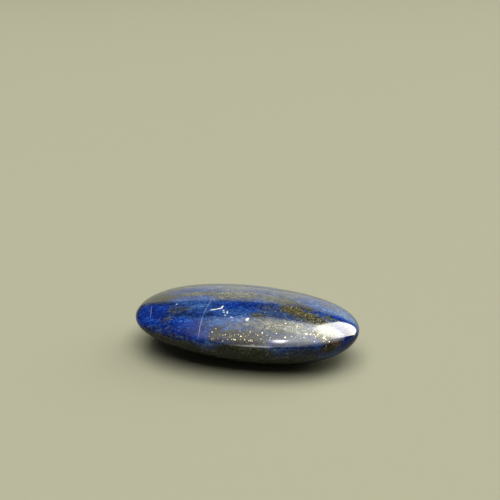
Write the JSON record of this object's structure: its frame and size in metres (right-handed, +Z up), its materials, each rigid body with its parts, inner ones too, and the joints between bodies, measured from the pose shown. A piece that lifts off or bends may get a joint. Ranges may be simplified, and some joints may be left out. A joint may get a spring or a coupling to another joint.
{
  "type": "polished lapis lazuli stone",
  "caption": "Polished oval lapis lazuli pebble with a low domed crown, a soft shoulder and a deep rounded belly, lying on a small flat spot; a display or worry stone.",
  "frame": {"origin": "middle of the stone's plan, on the surface that it rests on", "axes": "+Z up out of the domed crown, +X along the stone towards its narrower nose"},
  "size_m": [0.036, 0.0216, 0.0094],
  "materials": {
    "lapis": "polished"
  },
  "bodies": {
    "root": {"polished_stone": "lapis"}
  },
  "joints": []
}
